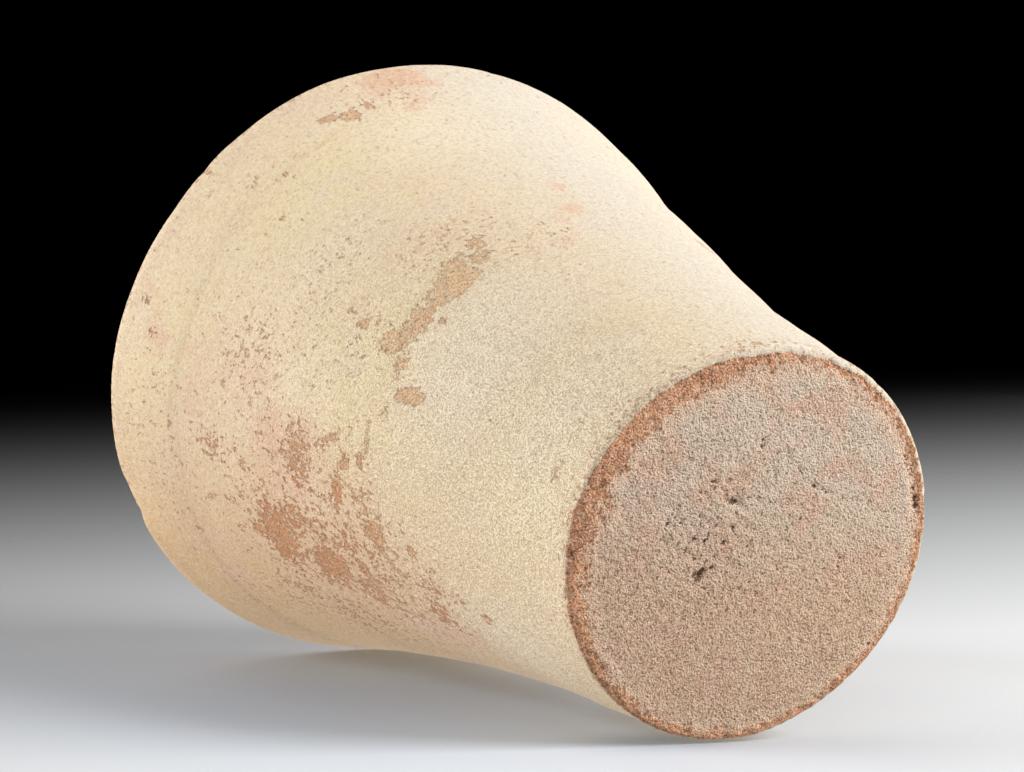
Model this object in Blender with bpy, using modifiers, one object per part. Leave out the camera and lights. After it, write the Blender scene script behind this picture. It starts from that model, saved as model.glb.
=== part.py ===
"""A kero: a flaring drinking beaker of slipped earthenware, shaped in one piece and open on top.

Metres, +Z up along the beaker's axis, origin at the centre of the flat underside it stands on.
"""

import math

import bmesh
import bpy

# Sizes of the beaker
HEIGHT = 0.1742
BASE_RADIUS = 0.044
MIDDLE_RADIUS = 0.0569
RIM_RADIUS = 0.0784
WALL = 0.0072
LIP = 0.0052
FLOOR = 0.012
FLOOR_CORNER = 0.013
WORN_EDGE = 0.0016
FOOT_SPREAD = 0.0009
FOOT_RISE = 0.005

# How the hand-shaped form strays from a true round: the rim's ovality as a share of its radius,
# the depth of its three and of its four slight lobes, and the sideways sway of the middle.
# Each angle is that of one lobe or of the sway, counterclockwise from +X.
OVAL = 0.0294
THREE_LOBES = 0.0005
THREE_LOBES_ANGLE = math.radians(65)
FOUR_LOBES = 0.0006
FOUR_LOBES_ANGLE = math.radians(5)
SWAY = 0.0007
SWAY_ANGLE = math.radians(147)

# A shallow chip in the lip, worn smooth
CHIP_ANGLE = math.radians(-8)
CHIP_WIDTH = 0.013
CHIP_HEIGHT = 0.008
CHIP_DEPTH = 0.0009

# Fineness of the facets, of the search for a height, and of a measured slope
TURN_STEPS = 96
WALL_ROWS = 11
ARC_STEPS = 5
SEARCH_STEPS = 50
SEARCH_SHARES = (-0.2, 1.2)
SLOPE_SPAN = 0.0005
MERGE_GAP = 0.00001
SHARP_ANGLE = math.radians(40)

SLIP_COLOUR = (0.80, 0.66, 0.47, 1.0)
SLIP_ROUGHNESS = 0.85


def outer_point(share):
    """(radius, height) of the outer wall, a parabola through the base, middle and rim radii that
    spreads a little at the foot. share is 0 at the underside and 1 at the lip's widest circle."""
    height = share * (HEIGHT - LIP / 2)
    radius = (
        BASE_RADIUS * (1 - share) * (1 - 2 * share)
        + MIDDLE_RADIUS * 4 * share * (1 - share)
        + RIM_RADIUS * share * (2 * share - 1)
    )
    return radius + FOOT_SPREAD * math.exp(-height / FOOT_RISE), height


def lean(share):
    """The wall's angle away from upright at this share of the height."""
    low = outer_point(share - SLOPE_SPAN)
    high = outer_point(share + SLOPE_SPAN)
    return math.atan2(high[0] - low[0], high[1] - low[1])


def inset_point(share, depth):
    """The point this deep in the wall, measured square to its outer face."""
    radius, height = outer_point(share)
    angle = lean(share)
    return radius - depth * math.cos(angle), height + depth * math.sin(angle)


def wall_at(share):
    """Wall thickness, which thins evenly from the foot to the lip."""
    return WALL + (LIP - WALL) * share


def share_where(depth_at, height):
    """The share of the height at which a curve inside the wall reaches this height."""
    low, high = SEARCH_SHARES
    for _ in range(SEARCH_STEPS):
        middle = (low + high) / 2
        if inset_point(middle, depth_at(middle))[1] < height:
            low = middle
        else:
            high = middle
    return (low + high) / 2


def arc(centre, radius, start, end):
    """Points of an arc about a centre, both ends included."""
    angles = [start + (end - start) * i / ARC_STEPS for i in range(ARC_STEPS + 1)]
    return [(centre[0] + radius * math.cos(a), centre[1] + radius * math.sin(a)) for a in angles]


def rows_between(first, last):
    """Shares of the height strictly between two shares, evenly spaced."""
    return [first + (last - first) * i / WALL_ROWS for i in range(1, WALL_ROWS)]


def profile():
    """The beaker's half section, from the middle of the floor, up the inside, over the lip, down
    the outside and in to the middle of the underside."""
    corner = share_where(lambda s: wall_at(s) + FLOOR_CORNER, FLOOR + FLOOR_CORNER)
    lip = share_where(lambda s: LIP / 2, HEIGHT - LIP / 2)
    foot = share_where(lambda s: WORN_EDGE, WORN_EDGE)
    down = -math.pi / 2
    points = [(0.0, FLOOR)]
    points += arc(
        inset_point(corner, wall_at(corner) + FLOOR_CORNER), FLOOR_CORNER, down, -lean(corner)
    )
    points += [inset_point(s, wall_at(s)) for s in rows_between(corner, lip)]
    points += arc(inset_point(lip, LIP / 2), LIP / 2, math.pi - lean(lip), -lean(lip))
    points += [outer_point(s) for s in rows_between(lip, foot)]
    points += arc(inset_point(foot, WORN_EDGE), WORN_EDGE, -lean(foot), down)
    points.append((0.0, 0.0))
    return points


def turned(name, points):
    """An object with the profile turned once about Z."""
    mesh = bpy.data.meshes.new(name)
    edges = [(i, i + 1) for i in range(len(points) - 1)]
    mesh.from_pydata([(r, 0.0, z) for r, z in points], edges, [])
    obj = bpy.data.objects.new(name, mesh)
    bpy.context.scene.collection.objects.link(obj)
    screw = obj.modifiers.new("turning", "SCREW")
    screw.axis = "Z"
    screw.angle = 2 * math.pi
    screw.steps = TURN_STEPS
    screw.render_steps = TURN_STEPS
    screw.use_merge_vertices = True
    screw.merge_threshold = MERGE_GAP
    return obj


def chip_depth(radius, angle, height):
    """How far the chip in the lip is worn back here. It leaves the inside of the lip as it was."""
    turn = math.remainder(angle - CHIP_ANGLE, 2 * math.pi)
    along = turn * RIM_RADIUS / (CHIP_WIDTH / 2)
    down = (HEIGHT - height) / CHIP_HEIGHT
    out = min(1.0, max(0.0, 1 - (RIM_RADIUS - radius) / LIP))
    return CHIP_DEPTH * out * math.exp(-along * along - down * down)


def lobes(radius, angle, height):
    """How far the slight lobes, which grow towards the rim, stand out here."""
    waves = THREE_LOBES * math.cos(3 * (angle - THREE_LOBES_ANGLE)) + FOUR_LOBES * math.cos(
        4 * (angle - FOUR_LOBES_ANGLE)
    )
    return waves * min(1.0, radius / BASE_RADIUS) * (height / HEIGHT) ** 2


def hand_shaped(point):
    """Where a point of the true round form lies on the real beaker."""
    radius = math.hypot(point.x, point.y)
    angle = math.atan2(point.y, point.x)
    share = point.z / HEIGHT
    spread = radius * (1 + OVAL * share * math.cos(2 * angle))
    spread += lobes(radius, angle, point.z) - chip_depth(radius, angle, point.z)
    shift = SWAY * math.sin(math.pi * share)
    return (
        spread * math.cos(angle) + shift * math.cos(SWAY_ANGLE),
        spread * math.sin(angle) + shift * math.sin(SWAY_ANGLE),
        point.z,
    )


def shape_by_hand(obj):
    """Replaces the turned form by its mesh, with every point moved to its hand-shaped place."""
    graph = bpy.context.evaluated_depsgraph_get()
    mesh = bpy.data.meshes.new_from_object(obj.evaluated_get(graph))
    mesh.name = obj.name
    obj.modifiers.clear()
    obj.data = mesh
    cage = bmesh.new()
    cage.from_mesh(mesh)
    for vertex in cage.verts:
        vertex.co = hand_shaped(vertex.co)
    cage.to_mesh(mesh)
    cage.free()


def clay_material():
    """Cream slip over fired clay, dry and matt."""
    material = bpy.data.materials.new("slipped_clay")
    material.use_nodes = True
    shader = material.node_tree.nodes["Principled BSDF"]
    shader.inputs["Base Color"].default_value = SLIP_COLOUR
    shader.inputs["Roughness"].default_value = SLIP_ROUGHNESS
    shader.inputs["Metallic"].default_value = 0.0
    return material


def collect(obj, name):
    """Moves the object to a collection of this name."""
    collection = bpy.data.collections.new(name)
    bpy.context.scene.collection.children.link(collection)
    bpy.context.scene.collection.objects.unlink(obj)
    collection.objects.link(obj)


def make_beaker():
    beaker = turned("beaker", profile())
    shape_by_hand(beaker)
    beaker.data.materials.append(clay_material())
    beaker.data.shade_smooth()
    beaker.data.set_sharp_from_angle(angle=SHARP_ANGLE)
    collect(beaker, "kero")


for old in list(bpy.data.objects):
    bpy.data.objects.remove(old, do_unlink=True)
make_beaker()
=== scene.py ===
import math
import random

import bpy
import numpy as np
from mathutils import Matrix, Vector, kdtree, noise


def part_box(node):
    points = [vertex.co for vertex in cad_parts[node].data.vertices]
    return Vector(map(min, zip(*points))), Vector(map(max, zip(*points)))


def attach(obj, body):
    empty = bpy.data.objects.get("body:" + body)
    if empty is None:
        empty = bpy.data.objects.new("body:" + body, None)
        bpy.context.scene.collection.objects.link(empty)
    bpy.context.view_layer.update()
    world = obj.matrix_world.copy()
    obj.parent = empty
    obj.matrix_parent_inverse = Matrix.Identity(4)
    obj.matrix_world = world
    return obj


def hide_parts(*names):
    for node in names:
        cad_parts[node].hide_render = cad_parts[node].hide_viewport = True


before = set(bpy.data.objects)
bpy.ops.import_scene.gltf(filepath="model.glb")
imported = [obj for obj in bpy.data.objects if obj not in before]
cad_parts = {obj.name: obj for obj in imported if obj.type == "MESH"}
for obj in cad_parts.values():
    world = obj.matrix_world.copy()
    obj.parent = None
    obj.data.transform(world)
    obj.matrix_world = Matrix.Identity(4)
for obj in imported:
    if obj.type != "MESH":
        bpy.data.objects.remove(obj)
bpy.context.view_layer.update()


# The camera looks at the kero as the photograph does: from below and to one side, rolled over,
# so that the beaker seems to lie on its side with its underside turned to the viewer.
CAMERA_PLACE = Vector((0.33439, 0.32213, -0.64681))
CAMERA_AIM = Vector((0.02398, 0.03142, 0.05429))
CAMERA_UP = Vector((-0.31768, 0.91739, 0.23974))
CAMERA_LENS = 129.375
CAMERA_SENSOR = 36

backwards = (CAMERA_PLACE - CAMERA_AIM).normalized()
rightwards = CAMERA_UP.cross(backwards).normalized()
upwards = backwards.cross(rightwards)
bpy.ops.object.camera_add(location=CAMERA_PLACE)
camera = bpy.context.object
camera.name = "camera"
camera.rotation_euler = Matrix((rightwards, upwards, backwards)).transposed().to_euler()
camera.data.lens = CAMERA_LENS
camera.data.sensor_width = CAMERA_SENSOR
bpy.context.scene.camera = camera
bpy.context.scene.view_settings.view_transform = "Standard"


# The beaker is one piece of coarse reddish clay, raised by hand, smoothed while wet and dipped in
# a cream slip. It was set down on its underside, which stayed bare, gritty and worn at the edge.
# Sizes are in millimetres here, and the mesh is brought to metres once it is shaped.
MM = 0.001
low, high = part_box("beaker")
HEIGHT = (high.z - low.z) / MM
BASE_RADIUS = 44.0
MIDDLE_RADIUS = 56.9
RIM_RADIUS = 78.4
WALL = 7.2
LIP = 5.2
FLOOR = 12.0
FLOOR_CORNER = 13.0
WORN_EDGE = 1.6
FOOT_SPREAD = 0.9
FOOT_RISE = 5.0
LIP_HEIGHT = HEIGHT - LIP / 2

# How the hand-shaped form strays from a true round, as in the solid
OVAL = 0.0294
THREE_LOBES = 0.5
THREE_LOBES_ANGLE = math.radians(65)
FOUR_LOBES = 0.6
FOUR_LOBES_ANGLE = math.radians(5)
SWAY = 0.7
SWAY_ANGLE = math.radians(147)
CHIP_ANGLE = math.radians(-8)
CHIP_WIDTH = 13.0
CHIP_HEIGHT = 8.0
CHIP_DEPTH = 0.9

# Where the foot's edge is worn back: angle, half width in degrees, and how far. The wear dies out
# up the wall.
WORN_BACK = ((96, 40, 1.3), (-110, 32, 1.0))
WORN_BACK_HEIGHT = 3.5

# Fineness of the mesh: rings of the underside, rows of the foot's edge, the outside and the
# inside, and points around the wall
DISC_RINGS = 90
EDGE_ROWS = 6
FOOT_ROWS = 7
OUTSIDE_ROWS = 118
LIP_ROWS = 9
CORNER_ROWS = 7
INSIDE_ROWS = 42
FLOOR_RINGS = 9
AROUND = 360

# How high the finely divided foot reaches, how near points are merged, and how far above the ground
# the finished mesh stays
FOOT_TOP = 6.5
MERGE_GAP = 0.01
STANDING_GAP = 0.05


def outer_point(share):
    """(radius, height) of the outer wall: a parabola through the base, middle and rim radii that
    spreads a little at the foot. share is 0 at the underside and 1 at the lip's widest circle."""
    radius = (
        BASE_RADIUS * (1 - share) * (1 - 2 * share)
        + MIDDLE_RADIUS * 4 * share * (1 - share)
        + RIM_RADIUS * share * (2 * share - 1)
    )
    height = share * LIP_HEIGHT
    return radius + FOOT_SPREAD * math.exp(-height / FOOT_RISE), height


def lean(share, span=0.0005):
    """The wall's angle away from upright at this share of the height."""
    below = outer_point(share - span)
    above = outer_point(share + span)
    return math.atan2(above[0] - below[0], above[1] - below[1])


def inset_point(share, depth):
    """The point this deep in the wall, measured square to its outer face."""
    radius, height = outer_point(share)
    return radius - depth * math.cos(lean(share)), height + depth * math.sin(lean(share))


def wall_at(share):
    """Wall thickness, which thins evenly from the foot to the lip."""
    return WALL + (LIP - WALL) * share


def share_where(depth_at, height):
    """The share of the height at which a curve inside the wall reaches this height."""
    below, above = -0.2, 1.2
    for _ in range(50):
        middle = (below + above) / 2
        if inset_point(middle, depth_at(middle))[1] < height:
            below = middle
        else:
            above = middle
    return (below + above) / 2


def arc(centre, radius, start, end, steps):
    """Points of an arc about a centre, both ends included."""
    angles = [start + (end - start) * i / steps for i in range(steps + 1)]
    return [(centre[0] + radius * math.cos(a), centre[1] + radius * math.sin(a)) for a in angles]


def evenly(first, last, steps):
    """Numbers from first to last in equal steps, both included."""
    return [first + (last - first) * i / steps for i in range(steps + 1)]


# The underside is a fan of six triangles, divided evenly, whose hexagon is pushed out to a round.
foot = share_where(lambda s: WORN_EDGE, WORN_EDGE)
edge = arc(inset_point(foot, WORN_EDGE), WORN_EDGE, -math.pi / 2, -lean(foot), EDGE_ROWS)
foot_top = FOOT_TOP / LIP_HEIGHT
edge += [outer_point(s) for s in evenly(foot, foot_top, FOOT_ROWS)[1:]]

bpy.ops.object.select_all(action="DESELECT")
bpy.ops.mesh.primitive_circle_add(vertices=6, radius=edge[0][0], fill_type="TRIFAN")
beaker = bpy.context.object
beaker.name = "slipped_beaker"
beaker.data.name = "slipped_beaker"
bpy.ops.object.mode_set(mode="EDIT")
bpy.ops.mesh.subdivide(number_cuts=DISC_RINGS - 1)
bpy.ops.object.mode_set(mode="OBJECT")
sixth = math.pi / 3
for vertex in beaker.data.vertices:
    angle = math.atan2(vertex.co.y, vertex.co.x) - math.pi / 2
    sector = math.floor(angle / sixth + 1e-6)
    turn = angle - (sector + 0.5) * sixth
    ring = vertex.co.length * math.cos(turn) / math.cos(sixth / 2)
    along = math.tan(turn) / math.tan(sixth / 2)
    angle = math.pi / 2 + (sector + 0.5 + along / 2) * sixth
    vertex.co = (ring * math.cos(angle), ring * math.sin(angle), 0)

# The worn edge and the foot of the wall are drawn up from the underside's border, ring by ring.
bpy.ops.object.mode_set(mode="EDIT")
bpy.ops.mesh.select_mode(type="EDGE")
bpy.ops.mesh.select_all(action="DESELECT")
bpy.ops.mesh.select_non_manifold()
for (radius, height), (next_radius, next_height) in zip(edge, edge[1:]):
    rise = (0, 0, next_height - height)
    growth = next_radius / radius
    bpy.ops.mesh.extrude_edges_move(TRANSFORM_OT_translate={"value": rise})
    bpy.ops.transform.resize(value=(growth, growth, 1), center_override=(0, 0, next_height))
bpy.ops.object.mode_set(mode="OBJECT")

# The rest is a half section, drawn point by point from one vertex and spun: up the outside, over
# the lip, down the inside and in to the middle of the floor.
lip = share_where(lambda s: LIP / 2, LIP_HEIGHT)
corner = share_where(lambda s: wall_at(s) + FLOOR_CORNER, FLOOR + FLOOR_CORNER)
section = [outer_point(s) for s in evenly(foot_top, lip, OUTSIDE_ROWS)[1:-1]]
section += arc(inset_point(lip, LIP / 2), LIP / 2, -lean(lip), math.pi - lean(lip), LIP_ROWS)
section += [inset_point(s, wall_at(s)) for s in evenly(lip, corner, INSIDE_ROWS)[1:-1]]
corner_centre = inset_point(corner, wall_at(corner) + FLOOR_CORNER)
section += arc(corner_centre, FLOOR_CORNER, -lean(corner), -math.pi / 2, CORNER_ROWS)
section += [(r, FLOOR) for r in evenly(section[-1][0], 0, FLOOR_RINGS)[1:]]

bpy.ops.object.select_all(action="DESELECT")
bpy.ops.mesh.primitive_plane_add(size=1, location=(section[0][0], 0, section[0][1]))
bpy.ops.object.transform_apply(location=True)
bpy.ops.object.mode_set(mode="EDIT")
bpy.ops.mesh.select_mode(type="VERT")
bpy.ops.mesh.select_all(action="SELECT")
bpy.ops.mesh.merge(type="CENTER")
for here, there in zip(section, section[1:]):
    step = (there[0] - here[0], 0, there[1] - here[1])
    bpy.ops.mesh.extrude_vertices_move(TRANSFORM_OT_translate={"value": step})
bpy.ops.mesh.select_all(action="SELECT")
bpy.ops.mesh.spin(steps=AROUND, angle=2 * math.pi, center=(0, 0, 0), axis=(0, 0, 1))
bpy.ops.mesh.select_all(action="SELECT")
bpy.ops.mesh.remove_doubles(threshold=MERGE_GAP)
bpy.ops.object.mode_set(mode="OBJECT")

beaker.select_set(True)
bpy.context.view_layer.objects.active = beaker
bpy.ops.object.join()
bpy.ops.object.mode_set(mode="EDIT")
bpy.ops.mesh.select_all(action="DESELECT")
bpy.ops.mesh.select_non_manifold()
bpy.ops.mesh.bridge_edge_loops()
bpy.ops.mesh.select_all(action="SELECT")
bpy.ops.mesh.normals_make_consistent(inside=False)
bpy.ops.object.mode_set(mode="OBJECT")
bpy.ops.object.shade_smooth()


def coordinates():
    """The beaker's vertices, one row each."""
    places = np.empty(len(beaker.data.vertices) * 3)
    beaker.data.vertices.foreach_get("co", places)
    return places.reshape(-1, 3)


def put(places):
    """Moves the beaker's vertices to these places."""
    beaker.data.vertices.foreach_set("co", places.ravel())
    beaker.data.update()


def strayed(radius, angle, height):
    """This radius as the hand left it: an oval and slight lobes that grow towards the rim."""
    share = height / HEIGHT
    lobes = THREE_LOBES * np.cos(3 * (angle - THREE_LOBES_ANGLE))
    lobes += FOUR_LOBES * np.cos(4 * (angle - FOUR_LOBES_ANGLE))
    oval = radius * (1 + OVAL * share * np.cos(2 * angle))
    return oval + lobes * np.minimum(1, radius / BASE_RADIUS) * share**2


def swayed(radius, angle, height):
    """(x, y) of a point at this radius and angle about the beaker's slightly bowed axis."""
    shift = SWAY * np.sin(math.pi * height / HEIGHT)
    x = radius * np.cos(angle) + shift * math.cos(SWAY_ANGLE)
    return x, radius * np.sin(angle) + shift * math.sin(SWAY_ANGLE)


# The hand's unevenness, the worn chip in the lip, and the foot's edge worn back
places = coordinates()
radius = np.hypot(places[:, 0], places[:, 1])
angle = np.arctan2(places[:, 1], places[:, 0])
degrees = np.degrees(angle)
height = places[:, 2]
chip_along = np.remainder(angle - CHIP_ANGLE + math.pi, 2 * math.pi) - math.pi
chip_along *= RIM_RADIUS / (CHIP_WIDTH / 2)
chip_down = (HEIGHT - height) / CHIP_HEIGHT
chip_out = np.clip(1 - (RIM_RADIUS - radius) / LIP, 0, 1)
spread = strayed(radius, angle, height)
spread -= CHIP_DEPTH * chip_out * np.exp(-(chip_along**2) - chip_down**2)
near_edge = np.clip(2 * radius / BASE_RADIUS - 1, 0, 1) * np.exp(-height / WORN_BACK_HEIGHT)
for at, half, back in WORN_BACK:
    turn = np.remainder(degrees - at + 180, 360) - 180
    spread -= back * near_edge * np.exp(-((turn / half) ** 2))
places[:, 0], places[:, 1] = swayed(spread, angle, height)
put(places)

# Where each vertex lies on the vessel: 1 on the underside, the outside or the inside, fading to
# 0 around the worn edge and over the lip
normals = np.empty(len(places) * 3)
beaker.data.vertex_normals.foreach_get("vector", normals)
normals = normals.reshape(-1, 3)
outwards = normals[:, 0] * np.cos(angle) + normals[:, 1] * np.sin(angle)
under = np.clip(-normals[:, 2] * 2 - 0.9, 0, 1) * (height < FOOT_TOP)
inside = np.clip(-outwards * 4, 0, 1)
inside[(height > 1) & (radius < BASE_RADIUS - WALL)] = 1
outside = (1 - inside) * (1 - under)


def wander(size, squash=1.0, seed=0.0):
    """Smooth noise over the vertices, from about -1 to 1, with lumps this many millimetres across.
    A squash over 1 draws the lumps out around the wall."""
    scale = np.array((1 / size / squash, 1 / size / squash, 1 / size))
    points = (places * scale + seed).tolist()
    return np.array([noise.noise(point) for point in points])


def around_wall(at):
    """How far each vertex lies around the wall from an angle, in millimetres."""
    turn = np.remainder(angle - math.radians(at) + math.pi, 2 * math.pi) - math.pi
    return turn * np.maximum(radius, BASE_RADIUS)


def patches(soft, rows):
    """A field that is 1 inside each patch and 0 outside it, across a border this many millimetres
    wide. A row is the angle and height of the patch's middle, its half length around the wall and
    half height, its tilt in degrees and its strength."""
    field = np.zeros(len(places))
    for at, up, half_around, half_up, tilt, strength in rows:
        along = around_wall(at)
        rise = height - up
        turn = math.radians(tilt)
        first = (along * math.cos(turn) + rise * math.sin(turn)) / half_around
        second = (rise * math.cos(turn) - along * math.sin(turn)) / half_up
        outside_by = (np.hypot(first, second) - 1) * min(half_around, half_up)
        field = np.maximum(field, strength * np.clip(0.5 - outside_by / soft, 0, 1))
    return field * outside


def mounds(rows):
    """Gentle swellings of the wall, in millimetres. A row is the angle and height of the middle,
    the half length around the wall, the half height, and how far it stands out."""
    field = np.zeros(len(places))
    for at, up, half_around, half_up, out in rows:
        away = (around_wall(at) / half_around) ** 2 + ((height - up) / half_up) ** 2
        field += out * np.exp(-away)
    return field * outside


def rise_over(values, start, end):
    """0 up to start and 1 from end on, in a smooth rise."""
    part = np.clip((values - start) / (end - start), 0, 1)
    return part * part * (3 - 2 * part)


def paint(name, field):
    """Keeps a field as an attribute of the mesh, for the material to read."""
    layer = beaker.data.attributes.new(name, "FLOAT", "POINT")
    layer.data.foreach_set("value", np.clip(field, 0, 1).astype(np.float32))


# How much of the slip has worn through to the reddish clay, from none to all. It is rubbed off in
# crumbs over one flank, as if the beaker had long lain on grit ...
rubbed = patches(soft=7.0, rows=(
    (-8.0, 115.0, 9.5, 7.0, 8, 0.84),
    (-3.0, 107.0, 6.0, 5.0, 0, 0.68),
    (-14.0, 99.0, 6.5, 8.0, 0, 0.8),
    (-4.0, 99.0, 6.0, 6.0, 0, 0.5),
    (-17.0, 86.0, 8.0, 5.5, -8, 0.7),
    (-7.0, 90.0, 4.0, 8.0, -10, 0.56),
    (12.0, 103.0, 9.0, 6.0, 0, 0.62),
    (7.0, 78.5, 6.5, 4.0, 0, 0.55),
    (-20.5, 61.0, 4.5, 4.0, 0, 0.75),
    (-11.0, 58.0, 5.0, 4.0, 12, 0.62),
    (8.3, 135.0, 3.5, 5.0, 0, 0.52),
    (22.0, 121.0, 3.0, 10.0, -4, 0.34),
    (24.0, 131.0, 4.0, 5.0, 0, 0.34),
    (-24.0, 118.0, 4.0, 12.0, 0, 0.5),
    (-30.0, 104.0, 7.0, 14.0, 0, 0.4),
    (-104.0, 92.0, 6.0, 5.0, 10, 0.62),
    (-62.0, 112.0, 6.0, 4.0, -12, 0.6),
    (-130.0, 100.0, 14.0, 8.0, 12, 0.7),
    (-146.0, 62.0, 7.0, 10.0, 0, 0.55),
    (166.0, 122.0, 9.0, 6.0, -10, 0.62),
    (-86.0, 132.0, 8.0, 5.0, 15, 0.6),
))
scattered = patches(soft=16.0, rows=(
    (-6.0, 98.0, 24.0, 36.0, 0, 0.31),
    (-10.0, 78.0, 16.0, 18.0, 0, 0.40),
    (12.0, 112.0, 16.0, 12.0, 0, 0.25),
    (-14.0, 112.0, 12.0, 14.0, 0, 0.42),
    (-24.0, 72.0, 6.0, 16.0, 0, 0.42),
    (-28.0, 130.0, 8.0, 16.0, 0, 0.36),
    (42.0, 93.0, 10.0, 8.0, 0, 0.26),
    (74.0, 90.0, 12.0, 8.0, 0, 0.28),
    (84.0, 77.0, 9.0, 6.0, 0, 0.34),
    (6.0, 152.0, 24.0, 12.0, 0, 0.19),
    (56.0, 113.0, 6.0, 5.0, 0, 0.34),
    (46.0, 109.0, 10.0, 8.0, 0, 0.27),
    (30.0, 124.0, 14.0, 14.0, 0, 0.27),
    (-38.0, 100.0, 10.0, 20.0, 0, 0.33),
    (-50.0, 90.0, 16.0, 24.0, 0, 0.28),
    (-74.0, 96.0, 24.0, 26.0, 0, 0.25),
    (-100.0, 48.0, 18.0, 14.0, 0, 0.3),
    (96.0, 160.0, 12.0, 8.0, 0, 0.3),
    (-140.0, 95.0, 34.0, 44.0, 0, 0.32),
    (170.0, 60.0, 30.0, 30.0, 0, 0.26),
))

# ... and has flaked off in clean-edged patches elsewhere: a long one at half height with a tail
# and a drop beside it, one under the rim, and small ones around them. Islands of slip are left.
flaked = patches(soft=2.4, rows=(
    (-8.3, 122.0, 1.8, 4.5, 0, 0.85),
    (-5.0, 87.5, 3.6, 2.6, 0, 0.85),
    (7.5, 88.3, 5.4, 1.9, -8, 0.9),
    (15.4, 85.0, 2.2, 1.6, 0, 1.0),
    (-0.6, 75.6, 3.6, 4.2, 0, 0.82),
    (16.6, 80.0, 2.6, 1.2, 8, 0.95),
    (23.0, 78.6, 4.6, 0.8, 8, 0.95),
    (18.6, 91.5, 5.4, 1.1, -60, 0.95),
    (8.3, 133.6, 2.6, 2.0, 0, 0.75),
    (8.6, 127.5, 0.6, 2.4, 0, 0.8),
    (7.0, 123.5, 1.4, 0.7, 0, 0.85),
    (-3.0, 138.0, 0.7, 2.2, 10, 0.8),
    (-1.8, 130.2, 0.8, 1.8, 0, 0.8),
    (-22.8, 125.5, 0.8, 2.6, 0, 0.8),
    (-2.2, 62.6, 2.2, 1.7, 0, 0.85),
    (-12.0, 51.4, 1.3, 1.0, 0, 0.85),
    (-13.0, 48.2, 1.4, 1.1, 0, 0.85),
    (-15.8, 40.4, 1.5, 1.5, 0, 1.0),
    (46.2, 81.2, 3.4, 4.6, 25, 1.02),
    (42.4, 75.6, 2.1, 2.3, 20, 1.0),
    (53.5, 78.4, 7.0, 3.8, 2, 0.92),
    (54.5, 80.9, 2.6, 1.4, -10, 0.9),
    (64.8, 78.0, 6.8, 4.9, 0, 0.95),
    (68.3, 83.4, 3.2, 2.4, 0, 0.85),
    (73.8, 79.5, 5.0, 2.6, 0, 0.68),
    (76.5, 85.1, 2.2, 2.1, 20, 1.1),
    (72.0, 84.4, 0.8, 1.1, 0, 0.95),
    (35.2, 70.8, 1.9, 1.7, 0, 1.1),
    (36.4, 67.4, 1.9, 4.0, 3, 1.1),
    (37.8, 74.5, 0.9, 1.1, 0, 0.85),
    (29.8, 74.5, 1.3, 1.0, 0, 1.0),
    (55.7, 71.6, 1.4, 0.9, -20, 0.9),
    (46.2, 93.4, 1.5, 1.5, 35, 1.05),
    (47.2, 98.2, 0.8, 1.6, 0, 0.85),
    (47.9, 89.9, 0.7, 1.0, 0, 0.85),
    (63.4, 92.9, 1.0, 0.8, 0, 0.8),
    (70.0, 98.6, 1.0, 0.8, 0, 0.85),
    (74.4, 94.5, 1.6, 0.7, 10, 0.85),
    (84.2, 89.2, 0.9, 0.9, 0, 0.85),
    (92.0, 75.4, 1.3, 0.9, 0, 0.95),
    (37.0, 12.0, 2.0, 0.9, 0, 0.85),
    (79.8, 157.0, 2.6, 1.3, -22, 1.1),
    (83.4, 154.0, 2.4, 2.4, 0, 1.0),
    (88.0, 156.2, 1.4, 2.2, 0, 0.75),
    (88.0, 166.0, 1.2, 1.0, 0, 0.85),
    (-1.8, 155.2, 1.5, 0.8, 10, 0.9),
    (-12.0, 149.0, 0.9, 1.1, 0, 0.85),
    (18.6, 156.6, 1.0, 0.9, 0, 0.9),
    (31.0, 165.5, 0.8, 1.6, -20, 0.85),
    (25.8, 159.5, 0.9, 1.4, -30, 0.85),
    (60.5, 154.8, 0.9, 0.8, 0, 0.9),
    (64.7, 148.7, 1.0, 0.8, 0, 0.9),
    (56.9, 168.6, 0.6, 1.8, 0, 0.85),
    (57.5, 138.7, 0.8, 0.7, 0, 0.8),
    (-162.0, 142.0, 6.0, 2.6, 0, 0.95),
    (-70.0, 40.0, 1.8, 2.4, 0, 0.95),
    (-108.0, 66.0, 2.0, 3.4, 10, 0.95),
    (142.0, 84.0, 3.0, 1.8, 0, 0.9),
    (176.0, 52.0, 2.2, 1.6, 0, 0.9),
))
islands = patches(soft=1.4, rows=(
    (48.5, 79.6, 2.2, 0.7, 20, 0.8),
    (57.5, 79.8, 2.6, 0.7, 0, 0.7),
    (-4.6, 86.7, 1.4, 1.0, 0, 1.0),
    (56.9, 74.3, 1.3, 1.5, 30, 1.0),
    (53.0, 73.0, 1.0, 1.6, 0, 1.0),
    (50.5, 83.2, 1.6, 0.9, 0, 1.0),
))

# The top of the lip and the foot of the wall are worn as well, most within 1.5 and 1 mm of the end
LIP_WEAR = 0.5
LIP_WEAR_FROM = 5.0
LIP_WEAR_TO = 1.5
FOOT_WEAR = 0.34
FOOT_WEAR_FROM = 9.0
FOOT_WEAR_TO = 1.0
lip_top = rise_over(height, HEIGHT - LIP_WEAR_FROM, HEIGHT - LIP_WEAR_TO)
foot_wear = rise_over(-height, -FOOT_WEAR_FROM, -FOOT_WEAR_TO) * outside
worn_through = np.maximum(np.maximum(rubbed, scattered), flaked) * (1 - islands)
lip_wear = LIP_WEAR * lip_top * (1 + 0.6 * wander(9.0, seed=14.0))
worn_through = np.maximum(worn_through, lip_wear)
worn_through = np.maximum(worn_through, FOOT_WEAR * foot_wear)

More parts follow.
